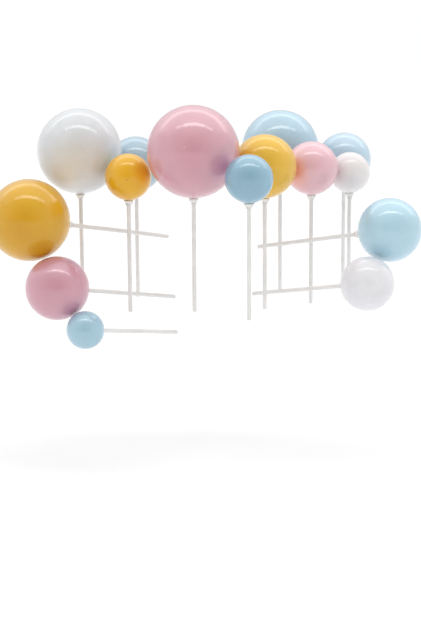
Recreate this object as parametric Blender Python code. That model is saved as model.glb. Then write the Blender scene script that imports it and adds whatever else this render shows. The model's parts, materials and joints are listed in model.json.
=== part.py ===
"""Cake topper: fifteen glossy pastel balls on wire picks, standing as they are pushed in.

Units are metres, with +Z up. The origin is the centre of the flat top that the picks stand in,
and -Y is the front. Each pick is four pieces: a foam ball, the lacquer coat round it, the wire
glued into it, and the bead of glue where the wire comes out.
"""

import math

import bmesh
import bpy
from mathutils import Matrix, Vector

# Outer diameters of the balls, over the lacquer
BALL_GIANT = 0.0440
BALL_HUGE = 0.0420
BALL_LARGE = 0.0395
BALL_MEDIUM = 0.0310
BALL_MIDDLING = 0.0305
BALL_MODEST = 0.0280
BALL_LESSER = 0.0265
BALL_LITTLE = 0.0260
BALL_SMALL = 0.0225
BALL_MINI = 0.0205
BALL_TINY = 0.0180

# The pieces of a pick
LACQUER_WALL = 0.0006
WIRE_DIAMETER = 0.0020
WIRE_FREE = 0.0550  # from the ball's surface to the tip
WIRE_BURIED = 0.0100  # from the ball's surface to the end inside it
TIP_CHAMFER = 0.0003
GLUE_COLLAR = 0.0014  # how far the glue spreads beyond the wire
GLUE_LENGTH = 0.0024  # how far it runs down the wire
SEAT_GAP = 0.0003  # between pieces that touch

# The upright round host that holds the picks, and how they stand in it
HOST_RADIUS = 0.0800
SIDE_SLOPE = math.radians(10)  # how steeply the side wires dip inwards
NEIGHBOUR_GAP = 0.0003  # least gap between two balls, also while either is drawn out

# Where the upper picks stand: x, y and the gap under the ball, below zero where it is pressed in
WHITE_LARGE_AT = (-0.0652, -0.0164, 0.0001)
BLUE_BEHIND_AT = (-0.0386, 0.0072, -0.0016)
YELLOW_SMALL_AT = (-0.0402, -0.0376, -0.0008)
PINK_LARGE_AT = (-0.0086, -0.0494, 0.0013)
BLUE_FRONT_AT = (0.0172, -0.0714, 0.0014)
YELLOW_MIDDLE_AT = (0.0258, -0.0332, -0.0008)
BLUE_LARGE_AT = (0.0354, 0.0146, -0.0007)
PINK_MIDDLE_AT = (0.0496, -0.0158, -0.0013)
BLUE_BACK_AT = (0.0690, 0.0220, -0.0015)
WHITE_SMALL_AT = (0.0698, -0.0028, -0.0019)

# Where the side picks stand: the height above the host's top and the gap between ball and host
YELLOW_SIDE_AT = (-0.0094, -0.0015)
PINK_SIDE_AT = (-0.0404, -0.0021)
BLUE_SIDE_SMALL_AT = (-0.0586, 0.0013)
BLUE_SIDE_AT = (-0.0158, -0.0005)
WHITE_SIDE_AT = (-0.0394, -0.0005)

# How far forward of the host's left or right side they stand
YELLOW_SIDE_TURN = math.radians(26.6)
PINK_SIDE_TURN = math.radians(37.6)
BLUE_SIDE_SMALL_TURN = math.radians(48.4)
BLUE_SIDE_TURN = math.radians(25.2)
WHITE_SIDE_TURN = math.radians(37.0)

# Mesh fineness
FACET_DEPTH = 0.00028  # how far a facet's middle lies inside the true ball
WIRE_SIDES = 8
GLUE_STEPS = 3
MERGE_WITHIN = 0.000001
SHARP_ANGLE = math.radians(40)
DRAW_STEPS = 8  # positions tried along each wire when looking for the nearest approach
SPREAD_ROUNDS = 200

COLOURS = {
    "white": (0.86, 0.85, 0.83),
    "pink": (0.75, 0.42, 0.49),
    "blue": (0.42, 0.66, 0.80),
    "yellow": (0.80, 0.40, 0.05),
}
UP = Vector((0, 0, 1))
FRONT = Vector((0, -1, 0))
RIGHT = Vector((1, 0, 0))
LEFT = Vector((-1, 0, 0))


class Pick:
    """A ball on its wire. The axis points along the wire, from its tip out through the ball."""

    def __init__(self, name, colour, diameter, gap):
        self.name = name
        self.colour = colour
        self.radius = diameter / 2
        self.gap = gap

    def drawn(self, travel):
        return self.centre + travel * self.axis


class TopPick(Pick):
    """Stands upright in the host's top."""

    def __init__(self, name, colour, diameter, place):
        x, y, gap = place
        super().__init__(name, colour, diameter, gap)
        self.centre = Vector((x, y, 0))
        self.axis = UP
        self.seat()

    def seat(self):
        self.centre.z = self.radius + self.gap


class SidePick(Pick):
    """Stands in the host's side. It faces LEFT or RIGHT, turned towards the front."""

    def __init__(self, name, colour, diameter, facing, turn, place):
        height, gap = place
        super().__init__(name, colour, diameter, gap)
        self.centre = math.cos(turn) * facing + math.sin(turn) * FRONT + height * UP
        self.seat()

    def seat(self):
        outward = Vector((self.centre.x, self.centre.y, 0)).normalized()
        height = self.centre.z
        self.centre = (HOST_RADIUS + self.radius + self.gap) * outward + height * UP
        self.axis = math.cos(SIDE_SLOPE) * outward + math.sin(SIDE_SLOPE) * UP


def arrangement():
    """The picks, as they stand in the host."""
    return [
        TopPick("white_large", "white", BALL_HUGE, WHITE_LARGE_AT),
        TopPick("blue_behind", "blue", BALL_MODEST, BLUE_BEHIND_AT),
        TopPick("yellow_small", "yellow", BALL_SMALL, YELLOW_SMALL_AT),
        TopPick("pink_large", "pink", BALL_GIANT, PINK_LARGE_AT),
        TopPick("blue_front", "blue", BALL_SMALL, BLUE_FRONT_AT),
        TopPick("yellow_middle", "yellow", BALL_MEDIUM, YELLOW_MIDDLE_AT),
        TopPick("blue_large", "blue", BALL_LARGE, BLUE_LARGE_AT),
        TopPick("pink_middle", "pink", BALL_LESSER, PINK_MIDDLE_AT),
        TopPick("blue_back", "blue", BALL_MODEST, BLUE_BACK_AT),
        TopPick("white_small", "white", BALL_MINI, WHITE_SMALL_AT),
        SidePick("yellow_side", "yellow", BALL_LARGE, LEFT, YELLOW_SIDE_TURN, YELLOW_SIDE_AT),
        SidePick("pink_side", "pink", BALL_MIDDLING, LEFT, PINK_SIDE_TURN, PINK_SIDE_AT),
        SidePick("blue_side_small", "blue", BALL_TINY, LEFT, BLUE_SIDE_SMALL_TURN, BLUE_SIDE_SMALL_AT),
        SidePick("blue_side", "blue", BALL_MEDIUM, RIGHT, BLUE_SIDE_TURN, BLUE_SIDE_AT),
        SidePick("white_side", "white", BALL_LITTLE, RIGHT, WHITE_SIDE_TURN, WHITE_SIDE_AT),
    ]


def nearest_approach(first, second):
    """The vector from one ball's centre to the other's where they pass closest, drawn or not."""
    if first.axis == second.axis:
        between = second.centre - first.centre
        return between - between.dot(first.axis) * first.axis
    travels = [WIRE_FREE * step / (DRAW_STEPS - 1) for step in range(DRAW_STEPS)]
    ways = (second.drawn(b) - first.drawn(a) for a in travels for b in travels)
    return min(ways, key=lambda way: way.length)


def spread(picks):
    """Moves neighbours apart, and seats them again, until each ball can be drawn past the rest."""
    for _ in range(SPREAD_ROUNDS):
        moved = False
        for index, first in enumerate(picks):
            for second in picks[index + 1 :]:
                need = first.radius + second.radius + NEIGHBOUR_GAP
                if (second.centre - first.centre).length > need + WIRE_FREE:
                    continue
                way = nearest_approach(first, second)
                if way.length >= need:
                    continue
                push = (need - way.length) * way.normalized()
                first.centre -= push
                second.centre += push
                first.seat()
                second.seat()
                moved = True
        if not moved:
            return


def sides_of(radius):
    """A multiple of four, so that a ball keeps its full width both ways."""
    half_side = math.acos(1 - min(FACET_DEPTH / radius, 0.5))
    return 4 * math.ceil(math.pi / half_side / 4)


def arc(radius, start, steps):
    """Points (r, z) from the top of a ball at the origin, round to the angle start from its foot."""
    turn = math.pi - start
    angles = [turn * step / steps for step in range(steps + 1)]
    return [(radius * math.sin(angle), radius * math.cos(angle)) for angle in angles]


def material(name, colour, roughness, coat=0.0):
    made = bpy.data.materials.new(name)
    made.use_nodes = True
    made.diffuse_color = (*colour, 1)
    shader = made.node_tree.nodes["Principled BSDF"]
    shader.inputs["Base Color"].default_value = (*colour, 1)
    shader.inputs["Roughness"].default_value = roughness
    shader.inputs["Metallic"].default_value = 0.0
    shader.inputs["Coat Weight"].default_value = coat
    return made


def turned(name, profile, sides, finish, holder):
    """A solid turned about Z from the closed outline (r, z). Points on the axis close its ends."""
    mesh = bmesh.new()
    points = [mesh.verts.new((r, 0, z)) for r, z in profile]
    pairs = zip(points, points[1:] + points[:1])
    lines = [mesh.edges.new(pair) for pair in pairs if any(point.co.x > 0 for point in pair)]
    bmesh.ops.spin(
        mesh,
        geom=points + lines,
        cent=(0, 0, 0),
        axis=UP,
        angle=2 * math.pi,
        steps=sides,
        use_merge=True,
    )
    bmesh.ops.remove_doubles(mesh, verts=mesh.verts, dist=MERGE_WITHIN)
    bmesh.ops.recalc_face_normals(mesh, faces=mesh.faces)
    data = bpy.data.meshes.new(name)
    mesh.to_mesh(data)
    mesh.free()
    data.shade_smooth()
    data.set_sharp_from_angle(angle=SHARP_ANGLE)
    data.materials.append(finish)
    made = bpy.data.objects.new(name, data)
    made.parent = holder
    bpy.context.collection.objects.link(made)
    return made


def foam_ball(pick, holder):
    """The core: a foam ball inside the lacquer, with a blind hole for the wire."""
    radius = pick.radius - LACQUER_WALL - SEAT_GAP
    hole = WIRE_DIAMETER / 2 + SEAT_GAP
    sides = sides_of(pick.radius)
    mouth = math.asin(hole / radius)
    outside = arc(radius, mouth, sides // 2)
    floor = WIRE_BURIED + SEAT_GAP - pick.radius
    profile = outside + [(hole, floor), (0, floor)]
    finish = material(pick.name + "_foam", (0.88, 0.88, 0.87), 0.9)
    return turned(pick.name + "_foam_ball", profile, sides, finish, holder)


def lacquer_coat(pick, holder):
    """The glossy shell round the foam, open where the wire goes in."""
    inside = pick.radius - LACQUER_WALL
    hole = WIRE_DIAMETER / 2 + SEAT_GAP
    sides = sides_of(pick.radius)
    outer = arc(pick.radius, math.asin(hole / pick.radius), sides // 2)
    inner = arc(inside, math.asin(hole / inside), sides // 2)
    finish = material(pick.name + "_lacquer", COLOURS[pick.colour], 0.1, 1.0)
    return turned(pick.name + "_lacquer_coat", outer + inner[::-1], sides, finish, holder)


def wire(pick, holder):
    """A straight plastic-coated wire, from inside the ball to its chamfered tip."""
    radius = WIRE_DIAMETER / 2
    top = WIRE_BURIED - pick.radius
    tip = -pick.radius - WIRE_FREE
    profile = [(0, top), (radius, top), (radius, tip + TIP_CHAMFER)]
    profile += [(radius - TIP_CHAMFER, tip), (0, tip)]
    finish = material(pick.name + "_wire", (0.85, 0.85, 0.84), 0.35)
    return turned(pick.name + "_wire", profile, WIRE_SIDES, finish, holder)


def glue_bead(pick, holder):
    """The bead round the wire, hollowed on top to the ball and drawn in down the wire."""
    hole = WIRE_DIAMETER / 2 + SEAT_GAP
    rim = WIRE_DIAMETER / 2 + GLUE_COLLAR
    under = pick.radius + SEAT_GAP

    def ball_foot(r):
        return -math.sqrt(under**2 - r**2)

    foot = ball_foot(hole) - GLUE_LENGTH
    profile = [(hole, ball_foot(hole)), (rim, ball_foot(rim))]
    for step in range(1, GLUE_STEPS + 1):
        share = step / GLUE_STEPS
        fall = math.sin(share * math.pi / 2)
        reach = hole + (rim - hole) * (1 - share) + SEAT_GAP * share
        profile.append((reach, ball_foot(rim) + (foot - ball_foot(rim)) * fall))
    profile.append((hole, foot))
    finish = material(pick.name + "_glue", (0.80, 0.79, 0.74), 0.2)
    return turned(pick.name + "_glue_bead", profile, WIRE_SIDES, finish, holder)


def build(pick):
    """Stands one pick's pieces on an empty at the ball's centre, whose Z is the wire's axis."""
    holder = bpy.data.objects.new(pick.name + "_pick", None)
    bpy.context.collection.objects.link(holder)
    turn = UP.rotation_difference(pick.axis).to_matrix().to_4x4()
    holder.matrix_world = Matrix.Translation(pick.centre) @ turn
    for make in (foam_ball, lacquer_coat, wire, glue_bead):
        make(pick, holder)


def main():
    for old in list(bpy.data.objects):
        bpy.data.objects.remove(old)
    picks = arrangement()
    spread(picks)
    for pick in picks:
        build(pick)


main()
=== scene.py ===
"""Looks of a cake topper made of glossy pastel balls on wire picks.

Units are metres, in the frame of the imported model: the origin is the centre of the flat top that
the upper picks stand in, +Z is up and -Y is the front. Each pick gets a lacquer skin, a coated
wire and a bead of glue, all turned about the wire's axis, which is read from the frame.
"""

import json
import math

import bmesh
import bpy
from mathutils import Matrix, Vector, noise

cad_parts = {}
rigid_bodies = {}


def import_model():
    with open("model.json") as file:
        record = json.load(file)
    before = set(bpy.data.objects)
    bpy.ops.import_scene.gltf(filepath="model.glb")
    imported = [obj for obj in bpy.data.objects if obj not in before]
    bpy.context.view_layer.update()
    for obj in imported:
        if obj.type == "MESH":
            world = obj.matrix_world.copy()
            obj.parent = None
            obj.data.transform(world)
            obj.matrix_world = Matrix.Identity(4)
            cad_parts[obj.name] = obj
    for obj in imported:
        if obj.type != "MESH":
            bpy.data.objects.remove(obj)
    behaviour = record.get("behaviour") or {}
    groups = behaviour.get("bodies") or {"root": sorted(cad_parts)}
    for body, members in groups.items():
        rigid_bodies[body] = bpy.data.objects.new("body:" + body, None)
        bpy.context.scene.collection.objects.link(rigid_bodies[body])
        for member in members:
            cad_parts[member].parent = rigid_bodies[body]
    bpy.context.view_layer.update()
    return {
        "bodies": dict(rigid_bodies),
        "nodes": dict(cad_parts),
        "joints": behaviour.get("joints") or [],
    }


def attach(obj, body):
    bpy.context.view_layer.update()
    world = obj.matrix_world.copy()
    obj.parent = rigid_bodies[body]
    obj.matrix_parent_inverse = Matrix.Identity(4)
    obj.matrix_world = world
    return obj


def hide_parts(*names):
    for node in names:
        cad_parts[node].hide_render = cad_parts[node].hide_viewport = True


UP = Vector((0, 0, 1))

# Camera, as fitted to the photograph. Pixels are those of its 421 x 631 frame.
IMAGE_LONG_SIDE = 631
FOCAL_PIXELS = 1507
SENSOR = 36
CAMERA_BACK = 0.7632
CAMERA_UP = 0.0856
TILT_DOWN = math.radians(11.19)
PAN_LEFT = math.radians(0.078)
ROLL = math.radians(-0.388)
CLIP_NEAR = 0.01
CLIP_FAR = 200

# The table that the picks' host stands on, seen in the photograph as a white ground. Its colour
# turns from the first to the second between the two distances from the middle; the first, darker
# one is painted shade under the picks that deepens their shadow.
FLOOR_BELOW = 0.131
FLOOR_SIDE = 80.0
FLOOR_PAINTED_SHADE_COLOUR = (0.855, 0.862, 0.872)
FLOOR_FAR_COLOUR = (0.94, 0.94, 0.94)
FLOOR_NEAR = 0.35
FLOOR_FAR = 1.2
FLOOR_ROUGHNESS = 0.9

# The tent's light by direction, from the front (0) through the sides (0.5) to the back (1)
TENT = [
    (0.0, (0.37, 0.31, 0.25)),
    (0.04, (0.58, 0.51, 0.44)),
    (0.16, (0.88, 0.83, 0.77)),
    (0.25, (1.0, 0.98, 0.94)),
    (0.50, (1.04, 1.05, 1.07)),
    (0.75, (0.95, 0.95, 0.95)),
    (0.90, (0.76, 0.76, 0.77)),
    (1.0, (0.64, 0.64, 0.65)),
]
# It dims to this share between these two heights, where straight up is 1
TOP_SHARE = 0.68
TOP_LOW = 0.2
TOP_HIGH = 0.9
# Up to HORIZON above and below the level it is white, and the white fades out over HORIZON_FADE
WHITE = (1.0, 1.0, 1.0)
HORIZON = 0.012
HORIZON_FADE = 0.14

# The panel's light as a share of its strength, by direction from the front (0) over the top to
# the back (1). It fades out over PANEL_FADE beyond PANEL_SIDE to the left and right.
PANEL = [
    (0.0, (0.0, 0.0, 0.0)),
    (0.385, (0.0, 0.0, 0.0)),
    (0.405, (0.26, 0.26, 0.26)),
    (0.64, (0.33, 0.33, 0.33)),
    (0.66, (0.52, 0.52, 0.52)),
    (0.72, (0.44, 0.44, 0.44)),
    (0.86, (0.10, 0.10, 0.10)),
    (0.95, (0.0, 0.0, 0.0)),
]
PANEL_STRENGTH = 2.0
PANEL_SIDE = 0.76
PANEL_FADE = 0.10

# Tubes along the panel's edges: place, aim, length and width, and power in watts
LAMPS = {
    "front_tube": ((0.10, -0.29, 0.98), (0.10, -0.02, 0.0), (1.5, 0.17), 1.9),
    "front_glow": ((0.04, -0.29, 0.97), (0.04, -0.02, 0.0), (0.7, 0.15), 0.65),
    "rear_tube": ((0.24, 0.64, 0.98), (0.24, 0.0, 0.0), (3.0, 0.22), 2.35),
}

# Skin of a ball
SKIN_SIDES = 128
SKIN_WALL = 0.00055
SKIN_SHARP = math.radians(50)
WAVE_HEIGHT = 0.000025
WAVE_LENGTH = 0.011
WAVE_SEED = 37
RIPPLE_SHARE = 0.5
RIPPLE_RATE = 2.1
HOLE_GAP = 0.00025
LIP_HEIGHT = 0.00025
LIP_REACH = 0.0035
LIP_EDGE = 0.0006
LIP_EDGE_SHARE = 0.35

# Wire
WIRE_SIDES = 32
WIRE_RUNS = 48
WIRE_SHARP = math.radians(35)
WIRE_SWELL = 0.00002
WIRE_SWELL_RATE = 260
WIRE_SEED = 90
WIRE_TOP_SHARE = 0.9
WIRE_TOP_CHAMFER = 0.0001
TIP_CHAMFER = 0.0003
STEEL_RADIUS = 0.0006
STEEL_INSET = 0.00015

# Glue
SEAT_GAP = 0.0003
GLUE_SIDES = 40
GLUE_COLLAR = 0.0014
GLUE_LENGTH = 0.0024
# The bead's outline as shares of its reach from the wire and of its length, from the ball down
GLUE_SHAPE = [
    (0.90, 0.00),
    (0.97, 0.02),
    (1.00, 0.07),
    (0.98, 0.15),
    (0.91, 0.26),
    (0.79, 0.38),
    (0.63, 0.50),
    (0.46, 0.62),
    (0.31, 0.73),
    (0.19, 0.83),
    (0.11, 0.91),
    (0.05, 0.97),
    (0.00, 1.00),
]
# Rings of the bead's seat on the ball, as shares of its reach there
GLUE_SEAT_SHARES = (0.0, 0.4, 0.8)
# Lumps and the run, as shares of the bead's reach and of its length
GLUE_SEED = 700
GLUE_LUMPS = 420
GLUE_RUN_RATE = 0.8
GLUE_REACH = 0.92
GLUE_LUMP_OUT = 0.22
GLUE_RUN_OUT = 0.16
GLUE_FALL = 0.90
GLUE_RUN_DOWN = 0.35

# Each ball's paint, as a linear base colour, with painted light and shade in it: balls of one
# colour are set paler or deeper one by one to how each looks as lit.
PAINT_AND_PAINTED_LIGHT = {
    "white_large": (0.634, 0.660, 0.686),
    "blue_behind": (0.274, 0.438, 0.542),
    "yellow_small": (0.728, 0.340, 0.003),
    "pink_large": (0.580, 0.252, 0.319),
    "blue_front": (0.158, 0.369, 0.507),
    "yellow_middle": (0.720, 0.388, 0.038),
    "blue_large": (0.310, 0.511, 0.644),
    "pink_middle": (0.725, 0.390, 0.450),
    "blue_back": (0.387, 0.564, 0.692),
    "white_small": (0.780, 0.747, 0.753),
    "yellow_side": (0.614, 0.282, 0.003),
    "pink_side": (0.551, 0.222, 0.306),
    "blue_side_small": (0.278, 0.500, 0.631),
    "blue_side": (0.361, 0.602, 0.737),
    "white_side": (0.757, 0.763, 0.804),
}
# Specks under the lacquer as the photograph shows them: share of the radius to the right and up on
# the front, reach in metres, and shade, where less than 1 is darker than the paint
SPECKS = {
    "yellow_small": [(0.01, -0.02, 0.0006, 0.45)],
    "yellow_middle": [(0.72, -0.44, 0.0006, 0.35)],
    "pink_large": [(-0.17, 0.18, 0.0009, 1.25)],
}
# How much of its shade a speck takes on at its middle
SPECK_SHARE = 0.8
# Painted light, shade and reflections in the paint: soft patches that copy the coloured
# reflections of nearby balls and the room, deepen a ball's middle as painted shade, or lighten the
# paint over the shade where balls meet. Right and up as above, reach as a share of the radius, and
# the tint
PAINTED_LIGHT_AND_SHADE = {
    "white_large": [
        (0.0, -0.20, 0.95, (1.06, 0.94, 0.79)),
        (0.84, -0.12, 0.60, (0.84, 1.08, 1.26)),
        (-0.20, -0.66, 0.78, (1.24, 1.31, 1.37)),
    ],
    "yellow_small": [(0.74, 0.12, 0.75, (1.24, 1.05, 0.80))],
    "pink_large": [
        (0.72, -0.30, 0.50, (1.36, 1.28, 1.48)),
        (0.02, -0.17, 0.65, (0.96, 0.81, 0.88)),
    ],
    "pink_middle": [(-0.70, -0.20, 0.80, (1.28, 0.96, 0.70))],
    "yellow_side": [
        (0.36, -0.82, 0.50, (1.22, 1.25, 1.35)),
        (-0.12, -0.18, 0.75, (0.98, 0.86, 0.70)),
    ],
    "pink_side": [(0.42, -0.74, 0.45, (1.25, 1.30, 1.30))],
    "blue_side": [(-0.36, -0.76, 0.45, (1.18, 1.14, 1.08))],
}
# Each colour's finish: the paint's roughness, index and gleam, and the clear coat's index and
# roughness
CLEAR = (1.0, 1.0, 1.0)
GOLDEN = (1.0, 0.88, 0.08)
FINISHES = {
    "white": (0.50, 1.30, CLEAR, 1.48, 0.05),
    "pink": (0.50, 2.20, CLEAR, 1.55, 0.05),
    "blue": (0.50, 2.10, CLEAR, 1.55, 0.05),
    "yellow": (0.60, 2.30, GOLDEN, 1.50, 0.10),
}

# Patterns in the materials: cells to the metre, and detail
MOTTLE = (90, 3.0)
PEEL = (300, 1.0)
GRAIN = (1400, 2.0)
COATING_TONE = (160, 2.0)
COATING_RIPPLE = (900, 2.0)
STEEL_CUT = (5200, 3.0)
GLUE_CLOUD = (650, 2.0)
GLUE_RIPPLE = (900, 1.0)
FOAM_BEADS = 420
FOAM_SEAM = 0.12
# A noise stays near its middle, so these parts of its range are spread over a whole change
CLOUD_RANGE = (0.3, 0.7)
GRAIN_RANGE = (0.2, 0.8)

# Reliefs in the materials: height in metres, and strength
PEEL_RELIEF = (0.00001, 0.3)
SPECK_RELIEF = (0.00015, 1.0)
FOAM_RELIEF = (0.0003, 0.6)
COATING_RELIEF = (0.00003, 0.5)
STEEL_RELIEF = (0.00002, 0.8)
GLUE_RELIEF = (0.00005, 0.5)

# Tones of the paint as shares of its base colour, no paler than PALEST, and of its roughness
DEEP_SHARE = 0.955
PALE_SHARE = 1.03
PALEST = 0.94
SMOOTH_SHARE = 0.95
ROUGH_SHARE = 1.06

# Colours and roughness of the rest
FOAM_COLOURS = ((0.70, 0.70, 0.68), (0.87, 0.87, 0.86))
FOAM_ROUGHNESS = 0.85
COATING_COLOURS = ((0.77, 0.77, 0.76), (0.83, 0.83, 0.825))
COATING_ROUGHNESS = 0.38
STEEL_COLOURS = ((0.36, 0.36, 0.37), (0.62, 0.62, 0.63))
STEEL_ROUGHNESS = 0.35
GLUE_COLOURS = ((0.80, 0.79, 0.74), (0.89, 0.885, 0.86))
GLUE_ROUGHNESS = (0.14, 0.24)
GLUE_INDEX = 1.48
GLUE_MILK = 0.5
GLUE_MILK_COLOUR = (1.0, 0.95, 0.8)
GLUE_MILK_DEPTH = 0.0012


# Meshes


def smoothstep(value):
    value = min(max(value, 0.0), 1.0)
    return value * value * (3 - 2 * value)


def corners_of(node):
    """A node's corners at rest. Its place is in its mesh."""
    return [Vector(vertex.co) for vertex in node.data.vertices]


def smooth_object(name, mesh, sharp):
    """An object with smooth shading, apart from edges sharper than an angle."""
    bmesh.ops.recalc_face_normals(mesh, faces=mesh.faces)
    data = bpy.data.meshes.new(name)
    mesh.to_mesh(data)
    mesh.free()
    data.shade_smooth()
    data.set_sharp_from_angle(angle=sharp)
    made = bpy.data.objects.new(name, data)
    bpy.context.collection.objects.link(made)
    return made


def turned(profile, sides):
    """A mesh turned about Z from a closed outline (r, z). A ring at r = 0 is one point."""
    mesh = bmesh.new()
    angles = [2 * math.pi * side / sides for side in range(sides)]
    rings = []
    for r, z in profile:
        if r == 0:
            rings.append([mesh.verts.new((0, 0, z))] * sides)
        else:
            rings.append([mesh.verts.new((r * math.cos(a), r * math.sin(a), z)) for a in angles])
    for upper, lower in zip(rings, rings[1:] + rings[:1]):
        for side in range(sides):
            after = (side + 1) % sides
            corners = dict.fromkeys([upper[after], upper[side], lower[side], lower[after]])
            if len(corners) > 2:
                mesh.faces.new(list(corners))
    return mesh


class Ball:
    """A pick's place, read from its solids: centre, radius, wire axis, wire radius and ends."""

    def __init__(self, body, axis, nodes, wire_free):
        self.body = body
        self.name = body.removesuffix("_pick")
        self.colour = self.name.split("_")[0]
        self.axis = axis
        coat = corners_of(nodes[self.name + "_lacquer_coat"])
        wire = corners_of(nodes[self.name + "_wire"])
        inside = sum(wire, Vector()) / len(wire)
        top = max(point.dot(axis) for point in coat)
        along_wire = [point.dot(axis) for point in wire]
        self.wire_radius = max((point - inside).cross(axis).length for point in wire)
        self.radius = (top - min(along_wire) - wire_free) / 2
        self.centre = inside + (top - self.radius - inside.dot(axis)) * axis
        self.tip = min(along_wire) - self.centre.dot(axis)
        self.wire_top = max(along_wire) - self.centre.dot(axis)

    def front(self, side, up):
        """A point on the front half, at shares of the radius to the right and up."""
        ahead = -math.sqrt(1 - side**2 - up**2)
        return self.centre + self.radius * Vector((side, ahead, up))

    def place(self, made):
        """Turns a piece that is modelled along Z about the origin into the ball's place."""
        turn = UP.rotation_difference(self.axis).to_matrix().to_4x4()
        made.data.transform(Matrix.Translation(self.centre) @ turn)
        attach(made, self.body)


# Shader building


class Graph:
    """A small wrapper that adds nodes to a node tree and joins them."""

    def __init__(self, tree, coordinates):
        self.tree = tree
        self.place = self.add("ShaderNodeTexCoord").outputs[coordinates]

    def add(self, kind, **values):
        node = self.tree.nodes.new(kind)
        for key, value in values.items():
            setattr(node, key, value)
        return node

    def join(self, out, into):
        self.tree.links.new(out, into)

    def noise(self, scale, detail):
        node = self.add("ShaderNodeTexNoise")
        node.inputs["Scale"].default_value = scale
        node.inputs["Detail"].default_value = detail
        self.join(self.place, node.inputs["Vector"])
        return node.outputs["Fac"]

    def math(self, operation, *values):
        node = self.add("ShaderNodeMath", operation=operation)
        for socket, value in zip(node.inputs, values):
            if isinstance(value, (int, float)):
                socket.default_value = value
            else:
                self.join(value, socket)
        return node.outputs[0]

    def span(self, value, low, high, to_low=0.0, to_high=1.0):
        """Runs smoothly from to_low to to_high while a value goes from low to high."""
        node = self.add("ShaderNodeMapRange", interpolation_type="SMOOTHSTEP")
        self.join(value, node.inputs["Value"])
        ends = {"From Min": low, "From Max": high, "To Min": to_low, "To Max": to_high}
        for key, number in ends.items():
            node.inputs[key].default_value = number
        return node.outputs["Result"]

    def clouds(self, pattern):
        """A noise that runs from 0 to 1."""
        return self.span(self.noise(*pattern), *CLOUD_RANGE)

    def mix(self, share, first, second, blend="MIX"):
        node = self.add("ShaderNodeMix", data_type="RGBA", blend_type=blend)
        sockets = [socket for socket in node.inputs if socket.enabled]
        for socket, value in zip(sockets, (share, first, second)):
            if isinstance(value, tuple):
                socket.default_value = (*value, 1)
            elif isinstance(value, (int, float)):
                socket.default_value = value
            else:
                self.join(value, socket)
        return next(out for out in node.outputs if out.enabled)

    def bump(self, pattern, relief, normal=None):
        height, strength = relief
        node = self.add("ShaderNodeBump")
        node.inputs["Strength"].default_value = strength
        node.inputs["Distance"].default_value = height
        self.join(pattern, node.inputs["Height"])
        if normal:
            self.join(normal, node.inputs["Normal"])
        return node.outputs["Normal"]

    def ramp(self, value, stops):
        """A colour that runs through stops of (position, colour)."""
        node = self.add("ShaderNodeValToRGB")
        self.join(value, node.inputs["Fac"])
        elements = node.color_ramp.elements
        elements[0].position, elements[1].position = stops[0][0], stops[-1][0]
        for position, _ in stops[1:-1]:
            elements.new(position)
        for element, (_, colour) in zip(elements, stops):
            element.color = (*colour, 1)
        return node.outputs["Color"]

    def far(self, point):
        """The distance from a point."""
        node = self.add("ShaderNodeVectorMath", operation="DISTANCE")
        self.join(self.place, node.inputs[0])
        node.inputs[1].default_value = point
        return node.outputs["Value"]

    def near(self, point, reach):
        """One at a point of the surface, falling to zero at reach from it."""
        return self.span(self.far(point), 0.0, reach, 1.0, 0.0)


class Shader(Graph):
    """A material's nodes."""

    def __init__(self, name):
        self.material = bpy.data.materials.new(name)
        self.material.use_nodes = True
        super().__init__(self.material.node_tree, "Object")
        self.surface = self.tree.nodes["Principled BSDF"]

    def feed(self, **outs):
        """Joins outputs to the surface's sockets."""
        for key, out in outs.items():
            self.join(out, self.surface.inputs[key.replace("_", " ")])

    def set(self, **values):
        """Sets values that are the same all over."""
        for key, value in values.items():
            self.surface.inputs[key.replace("_", " ")].default_value = value


# Materials


def lacquer(ball):
    """Glossy sprayed paint: faint mottling, orange peel, any speck under the coat, and patches of
    painted light, shade and reflection.
    """
    # The base colour is the paint plus painted light and shade that differ from ball to ball
    colour = PAINT_AND_PAINTED_LIGHT[ball.name]
    roughness, index, gleam, coat_index, coat_roughness = FINISHES[ball.colour]
    shader = Shader(ball.name + "_lacquer")
    deep = tuple(channel * DEEP_SHARE for channel in colour)
    pale = tuple(min(channel * PALE_SHARE, PALEST) for channel in colour)
    tint = shader.mix(shader.clouds(MOTTLE), deep, pale)
    # Patches of painted reflection, painted shade, and painted light over the shade between balls
    for side, up, reach, painted_tint in PAINTED_LIGHT_AND_SHADE.get(ball.name, []):
        painted_patch = shader.near(ball.front(side, up), reach * ball.radius)
        tint = shader.mix(painted_patch, tint, painted_tint, "MULTIPLY")
    peel = shader.bump(shader.noise(*PEEL), PEEL_RELIEF)
    for side, up, reach, shade in SPECKS.get(ball.name, []):
        spot = shader.near(ball.front(side, up), reach)
        shaded = tuple(channel * shade for channel in colour)
        tint = shader.mix(shader.math("MULTIPLY", spot, SPECK_SHARE), tint, shaded)
        peel = shader.bump(spot, SPECK_RELIEF, peel)
    ends = (roughness * SMOOTH_SHARE, roughness * ROUGH_SHARE)
    grain = shader.span(shader.noise(*GRAIN), *GRAIN_RANGE, *ends)
    shader.feed(Base_Color=tint, Normal=peel, Roughness=grain)
    shader.set(IOR=index, Specular_Tint=(*gleam, 1))
    shader.set(Coat_Weight=1.0, Coat_IOR=coat_index, Coat_Roughness=coat_roughness)
    return shader.material


def foam_material():
    """Expanded foam: pressed beads with fine seams between them."""
    shader = Shader("foam")
    beads = shader.add("ShaderNodeTexVoronoi", feature="DISTANCE_TO_EDGE")
    beads.inputs["Scale"].default_value = FOAM_BEADS
    shader.join(shader.place, beads.inputs["Vector"])
    seam = shader.span(beads.outputs["Distance"], 0.0, FOAM_SEAM)
    shader.feed(Base_Color=shader.mix(seam, *FOAM_COLOURS), Normal=shader.bump(seam, FOAM_RELIEF))
    shader.set(Roughness=FOAM_ROUGHNESS)
    return shader.material


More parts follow.
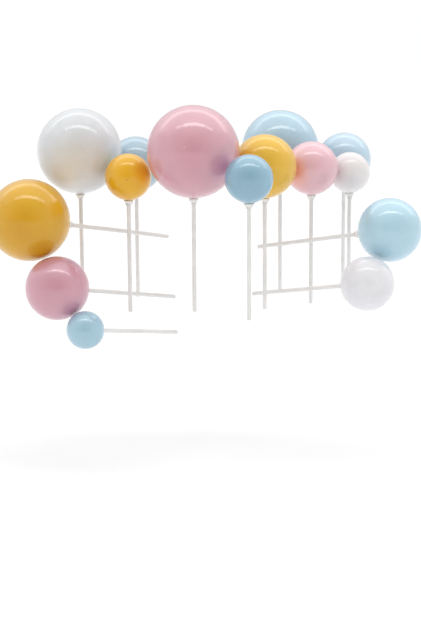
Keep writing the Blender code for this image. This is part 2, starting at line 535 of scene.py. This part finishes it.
def coating_material():
    """The wire's white plastic, a little dull and uneven."""
    shader = Shader("wire_coating")
    colour = shader.mix(shader.clouds(COATING_TONE), *COATING_COLOURS)
    ripple = shader.bump(shader.noise(*COATING_RIPPLE), COATING_RELIEF)
    shader.feed(Base_Color=colour, Normal=ripple)
    shader.set(Roughness=COATING_ROUGHNESS)
    return shader.material


def steel_material():
    """The cut end of the wire's steel core."""
    shader = Shader("wire_steel")
    cut = shader.noise(*STEEL_CUT)
    shader.feed(Base_Color=shader.mix(cut, *STEEL_COLOURS), Normal=shader.bump(cut, STEEL_RELIEF))
    shader.set(Metallic=1.0, Roughness=STEEL_ROUGHNESS)
    return shader.material


def glue_material():
    """Set hot glue: milky, and glossy where it has run."""
    shader = Shader("glue")
    cloud = shader.clouds(GLUE_CLOUD)
    ripple = shader.bump(shader.noise(*GLUE_RIPPLE), GLUE_RELIEF)
    shader.feed(Base_Color=shader.mix(cloud, *GLUE_COLOURS), Normal=ripple)
    shader.feed(Roughness=shader.span(cloud, 0.0, 1.0, *GLUE_ROUGHNESS))
    shader.set(Subsurface_Weight=GLUE_MILK, Subsurface_Radius=GLUE_MILK_COLOUR)
    shader.set(Subsurface_Scale=GLUE_MILK_DEPTH, IOR=GLUE_INDEX)
    return shader.material


# Pieces of a pick


def lacquer_skin(ball):
    """The painted skin: a ball with slight waves, drawn into a lip round the wire's hole."""
    hole = ball.wire_radius + HOLE_GAP
    start = math.asin(hole / ball.radius)
    steps = SKIN_SIDES // 2
    angles = [(math.pi - start) * step / steps for step in range(steps + 1)]
    outer = [(ball.radius * math.sin(a), ball.radius * math.cos(a)) for a in angles]
    inside = ball.radius - SKIN_WALL
    inner = [(inside * math.sin(a), inside * math.cos(a)) for a in angles[::2]]
    mesh = turned(outer + inner[::-1], SKIN_SIDES)
    seed = ball.centre * WAVE_SEED
    for vertex in mesh.verts:
        length = vertex.co.length
        if length < ball.radius - SKIN_WALL / 2:
            continue
        place = vertex.co / WAVE_LENGTH + seed
        ripple = RIPPLE_SHARE * noise.noise(place * RIPPLE_RATE)
        wave = WAVE_HEIGHT * (noise.noise(place) + ripple)
        lip = 0.0
        past_hole = vertex.co.xy.length - hole
        if vertex.co.z < 0 and past_hole < LIP_REACH:
            edge = smoothstep(past_hole / LIP_EDGE + LIP_EDGE_SHARE)
            lip = LIP_HEIGHT * smoothstep(1 - past_hole / LIP_REACH) * edge
        vertex.co *= (length + wave + lip) / length
    made = smooth_object(ball.name + "_lacquer_skin", mesh, SKIN_SHARP)
    made.data.materials.append(lacquer(ball))
    ball.place(made)
    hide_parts(ball.name + "_lacquer_coat")


def coated_wire(ball, coating, steel):
    """A wire in white plastic, with its steel core showing at the cut tip."""
    radius = ball.wire_radius
    top = ball.wire_top
    tip = ball.tip
    floor = tip + STEEL_INSET
    side = [(0, top), (radius * WIRE_TOP_SHARE, top), (radius, top - WIRE_TOP_CHAMFER)]
    for step in range(1, WIRE_RUNS):
        z = top - (top - tip) * step / WIRE_RUNS
        place = Vector((z * WIRE_SWELL_RATE, ball.centre.x * WIRE_SEED, ball.centre.y * WIRE_SEED))
        if z > tip + 2 * TIP_CHAMFER:
            side.append((radius + WIRE_SWELL * noise.noise(place), z))
    side += [(radius, tip + TIP_CHAMFER), (radius - TIP_CHAMFER, tip)]
    side += [(STEEL_RADIUS, tip), (STEEL_RADIUS, floor), (0, floor)]
    made = smooth_object(ball.name + "_coated_wire", turned(side, WIRE_SIDES), WIRE_SHARP)
    made.data.materials.append(coating)
    made.data.materials.append(steel)
    for face in made.data.polygons:
        middle = face.center
        if middle.xy.length < STEEL_RADIUS and middle.z < floor + STEEL_INSET / 2:
            face.material_index = 1
    ball.place(made)
    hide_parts(ball.name + "_wire")


def glue_blob(ball, glue):
    """A bead of set glue: round at the ball, drawn in down the wire, with a run on one side."""
    hole = ball.wire_radius + SEAT_GAP
    spread = GLUE_COLLAR - SEAT_GAP
    under = ball.radius + SEAT_GAP

    def ball_foot(r):
        """The height of the ball's underside at a distance from the axis."""
        return -math.sqrt(under**2 - r**2)

    shoulder = spread * GLUE_SHAPE[0][0]
    seat = [hole + shoulder * share for share in GLUE_SEAT_SHARES]
    profile = [(r, ball_foot(r)) for r in seat]
    top = ball_foot(hole + shoulder)
    length = top - ball_foot(hole) + GLUE_LENGTH
    profile += [(hole + spread * reach, top - length * fall) for reach, fall in GLUE_SHAPE]
    mesh = turned(profile, GLUE_SIDES)
    seed = ball.centre * GLUE_SEED
    for vertex in mesh.verts:
        flat = Vector((vertex.co.x, vertex.co.y, 0))
        out = (flat.length - hole) / spread
        fall = (top - vertex.co.z) / length
        if out <= 0.0 or fall <= 0.0:
            continue
        lump = noise.noise(vertex.co * GLUE_LUMPS + seed)
        run = noise.noise(flat.normalized() * GLUE_RUN_RATE + seed) * fall
        swell = GLUE_REACH + GLUE_LUMP_OUT * lump + GLUE_RUN_OUT * run
        reach = min(hole + spread * out * swell, hole + spread)
        vertex.co.x, vertex.co.y = (flat.normalized() * reach).xy
        vertex.co.z = top - length * fall * (GLUE_FALL + GLUE_RUN_DOWN * run)
    made = smooth_object(ball.name + "_glue", mesh, SKIN_SHARP)
    made.data.materials.append(glue)
    ball.place(made)
    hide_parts(ball.name + "_glue_bead")


# Stage


def add_camera():
    """The photograph's camera."""
    forward = Vector((
        -math.sin(PAN_LEFT) * math.cos(TILT_DOWN),
        math.cos(PAN_LEFT) * math.cos(TILT_DOWN),
        -math.sin(TILT_DOWN),
    ))
    right = Vector((math.cos(PAN_LEFT), math.sin(PAN_LEFT), 0))
    upward = right.cross(forward)
    rolled_right = math.cos(ROLL) * right + math.sin(ROLL) * upward
    rolled_up = math.cos(ROLL) * upward - math.sin(ROLL) * right
    data = bpy.data.cameras.new("camera")
    data.sensor_fit = "AUTO"
    data.sensor_width = SENSOR
    data.lens = FOCAL_PIXELS / IMAGE_LONG_SIDE * SENSOR
    data.clip_start = CLIP_NEAR
    data.clip_end = CLIP_FAR
    camera = bpy.data.objects.new("camera", data)
    turn = Matrix((rolled_right, rolled_up, -forward)).transposed().to_4x4()
    camera.matrix_world = Matrix.Translation((0, -CAMERA_BACK, CAMERA_UP)) @ turn
    bpy.context.collection.objects.link(camera)
    bpy.context.scene.camera = camera


def add_lamp(name, place, aim, size, power):
    """A soft rectangular lamp, turned to face its aim."""
    data = bpy.data.lights.new(name, "AREA")
    data.shape = "RECTANGLE"
    data.size, data.size_y = size
    data.energy = power
    lamp = bpy.data.objects.new(name, data)
    lamp.location = place
    lamp.rotation_mode = "QUATERNION"
    lamp.rotation_quaternion = (Vector(aim) - Vector(place)).to_track_quat("-Z", "Y")
    bpy.context.collection.objects.link(lamp)


def add_world():
    """A white tent, dim and warm where it opens to the front, with a soft panel overhead.

    The panel reaches from above the front to behind, with a bright rear edge. Along the horizon
    the tent is as white as the table.
    """
    world = bpy.data.worlds.new("tent")
    bpy.context.scene.world = world
    world.use_nodes = True
    graph = Graph(world.node_tree, "Generated")
    split = graph.add("ShaderNodeSeparateXYZ")
    graph.join(graph.place, split.inputs[0])
    x, y, z = split.outputs
    # From -1 to 1 along y becomes 0 at the front to 1 at the back
    backwards = graph.math("MULTIPLY_ADD", y, 0.5, 0.5)
    dimming = graph.span(z, TOP_LOW, TOP_HIGH, 1.0, TOP_SHARE)
    tent = graph.mix(1.0, graph.ramp(backwards, TENT), dimming, "MULTIPLY")
    over = graph.math("ARCTAN2", z, graph.math("MULTIPLY", y, -1.0))
    panel = graph.ramp(graph.math("DIVIDE", over, math.pi), PANEL)
    aside = graph.math("ABSOLUTE", x)
    inside = graph.span(aside, PANEL_SIDE + PANEL_FADE, PANEL_SIDE, 0.0, PANEL_STRENGTH)
    lit = graph.add("ShaderNodeVectorMath", operation="MULTIPLY_ADD")
    for out, socket in zip((panel, inside, tent), lit.inputs):
        graph.join(out, socket)
    level = graph.math("ABSOLUTE", z)
    horizon = graph.span(level, HORIZON, HORIZON + HORIZON_FADE, 1.0, 0.0)
    colour = graph.mix(horizon, lit.outputs[0], WHITE)
    graph.join(colour, graph.tree.nodes["Background"].inputs["Color"])


def add_floor():
    """A white table with painted shade: a little darker in colour under the picks, which deepens
    their shadow.
    """
    mesh = bmesh.new()
    bmesh.ops.create_grid(mesh, x_segments=1, y_segments=1, size=FLOOR_SIDE / 2)
    floor = smooth_object("floor", mesh, SKIN_SHARP)
    floor.location.z = -FLOOR_BELOW
    shader = Shader("floor")
    # Painted shade: the colour is darker near the middle, under the picks
    away = shader.span(shader.far((0, 0, 0)), FLOOR_NEAR, FLOOR_FAR)
    shader.feed(Base_Color=shader.mix(away, FLOOR_PAINTED_SHADE_COLOUR, FLOOR_FAR_COLOUR))
    shader.set(Roughness=FLOOR_ROUGHNESS, Specular_IOR_Level=0.0)
    floor.data.materials.append(shader.material)


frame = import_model()
axes = {joint["child"]: Vector(joint["axis"]) for joint in frame["joints"]}
# Each pick draws out by its wire's free length
wire_free = frame["joints"][0]["range_m"][1]
coating = coating_material()
steel = steel_material()
glue = glue_material()
foam = foam_material()
for body in frame["bodies"]:
    pick = Ball(body, axes.get(body, UP), frame["nodes"], wire_free)
    lacquer_skin(pick)
    coated_wire(pick, coating, steel)
    glue_blob(pick, glue)
    core = frame["nodes"][pick.name + "_foam_ball"]
    core.data.materials.clear()
    core.data.materials.append(foam)

add_camera()
add_world()
add_floor()
for name, lamp in LAMPS.items():
    add_lamp(name, *lamp)
bpy.context.scene.view_settings.view_transform = "Standard"
